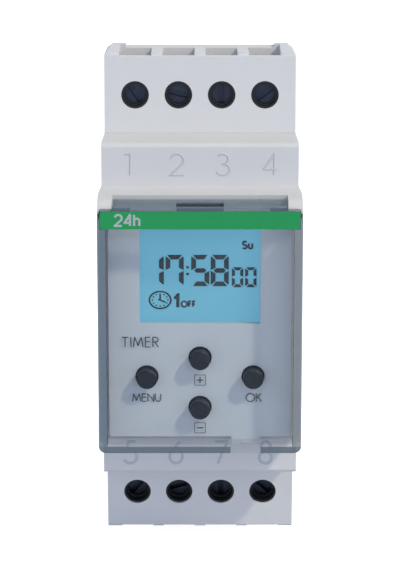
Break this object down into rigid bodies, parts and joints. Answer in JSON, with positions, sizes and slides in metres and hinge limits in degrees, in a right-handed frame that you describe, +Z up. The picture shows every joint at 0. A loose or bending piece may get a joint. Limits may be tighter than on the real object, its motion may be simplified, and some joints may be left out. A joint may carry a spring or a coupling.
{
  "type": "DIN rail timer",
  "caption": "Two-module weekly timer for a DIN rail, with screw terminals, segment display, push buttons and a hinged smoke-clear lid.",
  "frame": {"origin": "centre of the flat seat that rests on the lips of the DIN rail", "axes": "+Y out of the back towards the rail, -Y out of the front, +Z up, +X to the right seen from the front and along the rail"},
  "size_m": [0.035, 0.065, 0.09],
  "materials": {
    "case": "fine spark-eroded texture, satin",
    "panel": "smooth satin",
    "smoke_clear": "polished, clear, smoke tint",
    "clear": "polished, clear",
    "green_band": "printed film",
    "black_plastic": "satin",
    "button_plastic": "satin",
    "white_plastic": "satin",
    "zinc_steel": "zinc plated, turned",
    "spring_steel": "drawn wire",
    "tinned_brass": "tin plated, stamped",
    "circuit_board": "solder mask",
    "relay_blue": "moulded",
    "film_yellow": "moulded box",
    "sleeve_dark": "shrink sleeve",
    "disc_blue": "dipped coating",
    "lcd": "liquid crystal cell",
    "backlight": "light guide",
    "strip_rubber": "layered contact rubber"
  },
  "bodies": {
    "case": {"base_shell": "case", "terminal_block_top": "case", "terminal_block_bottom": "case", "front_shell": "case", "front_panel": "panel", "display_window": "clear", "hinge_pins": "black_plastic", "latch_spring": "spring_steel", "screw_guides_top": "black_plastic", "screw_guides_bottom": "black_plastic", "contact_bars_top": "tinned_brass", "contact_bars_bottom": "tinned_brass", "main_board": "circuit_board", "board_screws": "zinc_steel", "relay": "relay_blue", "film_capacitor": "film_yellow", "electrolytic_capacitor": "sleeve_dark", "varistor": "disc_blue", "rectifier_diodes": "black_plastic", "board_link": "black_plastic", "display_board": "circuit_board", "controller_chip": "black_plastic", "crystal": "tinned_brass", "coin_cell": "tinned_brass", "cell_holder": "black_plastic", "lcd_glass": "lcd", "lcd_backlight": "backlight", "contact_strips": "strip_rubber", "lcd_frame": "white_plastic", "tact_switches": "black_plastic"},
    "lid": {"lid": "smoke_clear", "color_band": "green_band"},
    "rail_latch": {"rail_latch": "black_plastic"},
    "menu_button": {"menu_button": "button_plastic"},
    "menu_plunger": {"menu_plunger": "white_plastic"},
    "plus_button": {"plus_button": "button_plastic"},
    "plus_plunger": {"plus_plunger": "white_plastic"},
    "minus_button": {"minus_button": "button_plastic"},
    "minus_plunger": {"minus_plunger": "white_plastic"},
    "ok_button": {"ok_button": "button_plastic"},
    "ok_plunger": {"ok_plunger": "white_plastic"},
    "terminal_screw_1": {"terminal_screw_1": "zinc_steel"},
    "clamp_cage_1": {"clamp_cage_1": "tinned_brass"},
    "terminal_screw_2": {"terminal_screw_2": "zinc_steel"},
    "clamp_cage_2": {"clamp_cage_2": "tinned_brass"},
    "terminal_screw_3": {"terminal_screw_3": "zinc_steel"},
    "clamp_cage_3": {"clamp_cage_3": "tinned_brass"},
    "terminal_screw_4": {"terminal_screw_4": "zinc_steel"},
    "clamp_cage_4": {"clamp_cage_4": "tinned_brass"},
    "terminal_screw_5": {"terminal_screw_5": "zinc_steel"},
    "clamp_cage_5": {"clamp_cage_5": "tinned_brass"},
    "terminal_screw_6": {"terminal_screw_6": "zinc_steel"},
    "clamp_cage_6": {"clamp_cage_6": "tinned_brass"},
    "terminal_screw_7": {"terminal_screw_7": "zinc_steel"},
    "clamp_cage_7": {"clamp_cage_7": "tinned_brass"},
    "terminal_screw_8": {"terminal_screw_8": "zinc_steel"},
    "clamp_cage_8": {"clamp_cage_8": "tinned_brass"}
  },
  "joints": [
    {"name": "lid_hinge", "type": "hinge", "parent": "case", "child": "lid", "pos_m": [0, -0.0562, 0.0203], "axis": [-1, 0, 0], "range_deg": [0, 95]},
    {"name": "rail_latch_slide", "type": "slide", "parent": "case", "child": "rail_latch", "axis": [0, 0, -1], "range_m": [0, 0.0035], "stiffness_N_per_m": 1500, "springref_m": -0.001, "deforming": ["latch_spring"]},
    {"name": "menu_press", "type": "slide", "parent": "case", "child": "menu_button", "axis": [0, 1, 0], "range_m": [0, 0.0005], "stiffness_N_per_m": 1200},
    {"name": "menu_plunger_slide", "type": "slide", "parent": "case", "child": "menu_plunger", "axis": [0, 1, 0], "range_m": [0, 0.0005]},
    {"name": "plus_press", "type": "slide", "parent": "case", "child": "plus_button", "axis": [0, 1, 0], "range_m": [0, 0.0005], "stiffness_N_per_m": 1200},
    {"name": "plus_plunger_slide", "type": "slide", "parent": "case", "child": "plus_plunger", "axis": [0, 1, 0], "range_m": [0, 0.0005]},
    {"name": "minus_press", "type": "slide", "parent": "case", "child": "minus_button", "axis": [0, 1, 0], "range_m": [0, 0.0005], "stiffness_N_per_m": 1200},
    {"name": "minus_plunger_slide", "type": "slide", "parent": "case", "child": "minus_plunger", "axis": [0, 1, 0], "range_m": [0, 0.0005]},
    {"name": "ok_press", "type": "slide", "parent": "case", "child": "ok_button", "axis": [0, 1, 0], "range_m": [0, 0.0005], "stiffness_N_per_m": 1200},
    {"name": "ok_plunger_slide", "type": "slide", "parent": "case", "child": "ok_plunger", "axis": [0, 1, 0], "range_m": [0, 0.0005]},
    {"name": "screw_1_turn", "type": "hinge", "parent": "case", "child": "terminal_screw_1", "pos_m": [-0.01125, -0.04113, 0.0368], "axis": [0, 0.9914, -0.1305], "range_deg": [0, 2304]},
    {"name": "cage_1_rise", "type": "slide", "parent": "case", "child": "clamp_cage_1", "axis": [0, -0.9914, 0.1305], "range_m": [0, 0.0032]},
    {"name": "screw_2_turn", "type": "hinge", "parent": "case", "child": "terminal_screw_2", "pos_m": [-0.00375, -0.04113, 0.0368], "axis": [0, 0.9914, -0.1305], "range_deg": [0, 2304]},
    {"name": "cage_2_rise", "type": "slide", "parent": "case", "child": "clamp_cage_2", "axis": [0, -0.9914, 0.1305], "range_m": [0, 0.0032]},
    {"name": "screw_3_turn", "type": "hinge", "parent": "case", "child": "terminal_screw_3", "pos_m": [0.00375, -0.04113, 0.0368], "axis": [0, 0.9914, -0.1305], "range_deg": [0, 2304]},
    {"name": "cage_3_rise", "type": "slide", "parent": "case", "child": "clamp_cage_3", "axis": [0, -0.9914, 0.1305], "range_m": [0, 0.0032]},
    {"name": "screw_4_turn", "type": "hinge", "parent": "case", "child": "terminal_screw_4", "pos_m": [0.01125, -0.04113, 0.0368], "axis": [0, 0.9914, -0.1305], "range_deg": [0, 2304]},
    {"name": "cage_4_rise", "type": "slide", "parent": "case", "child": "clamp_cage_4", "axis": [0, -0.9914, 0.1305], "range_m": [0, 0.0032]},
    {"name": "screw_5_turn", "type": "hinge", "parent": "case", "child": "terminal_screw_5", "pos_m": [-0.01125, -0.04113, -0.0368], "axis": [0, 0.9914, 0.1305], "range_deg": [0, 2304]},
    {"name": "cage_5_rise", "type": "slide", "parent": "case", "child": "clamp_cage_5", "axis": [0, -0.9914, -0.1305], "range_m": [0, 0.0032]},
    {"name": "screw_6_turn", "type": "hinge", "parent": "case", "child": "terminal_screw_6", "pos_m": [-0.00375, -0.04113, -0.0368], "axis": [0, 0.9914, 0.1305], "range_deg": [0, 2304]},
    {"name": "cage_6_rise", "type": "slide", "parent": "case", "child": "clamp_cage_6", "axis": [0, -0.9914, -0.1305], "range_m": [0, 0.0032]},
    {"name": "screw_7_turn", "type": "hinge", "parent": "case", "child": "terminal_screw_7", "pos_m": [0.00375, -0.04113, -0.0368], "axis": [0, 0.9914, 0.1305], "range_deg": [0, 2304]},
    {"name": "cage_7_rise", "type": "slide", "parent": "case", "child": "clamp_cage_7", "axis": [0, -0.9914, -0.1305], "range_m": [0, 0.0032]},
    {"name": "screw_8_turn", "type": "hinge", "parent": "case", "child": "terminal_screw_8", "pos_m": [0.01125, -0.04113, -0.0368], "axis": [0, 0.9914, 0.1305], "range_deg": [0, 2304]},
    {"name": "cage_8_rise", "type": "slide", "parent": "case", "child": "clamp_cage_8", "axis": [0, -0.9914, -0.1305], "range_m": [0, 0.0032]}
  ],
  "couplings": [
    {"joint": "menu_plunger_slide", "follows": "menu_press", "ratio": 1},
    {"joint": "plus_plunger_slide", "follows": "plus_press", "ratio": 1},
    {"joint": "minus_plunger_slide", "follows": "minus_press", "ratio": 1},
    {"joint": "ok_plunger_slide", "follows": "ok_press", "ratio": 1},
    {"joint": "screw_1_turn", "follows": "cage_1_rise", "rad_per_m": 12566},
    {"joint": "screw_2_turn", "follows": "cage_2_rise", "rad_per_m": 12566},
    {"joint": "screw_3_turn", "follows": "cage_3_rise", "rad_per_m": 12566},
    {"joint": "screw_4_turn", "follows": "cage_4_rise", "rad_per_m": 12566},
    {"joint": "screw_5_turn", "follows": "cage_5_rise", "rad_per_m": 12566},
    {"joint": "screw_6_turn", "follows": "cage_6_rise", "rad_per_m": 12566},
    {"joint": "screw_7_turn", "follows": "cage_7_rise", "rad_per_m": 12566},
    {"joint": "screw_8_turn", "follows": "cage_8_rise", "rad_per_m": 12566}
  ]
}
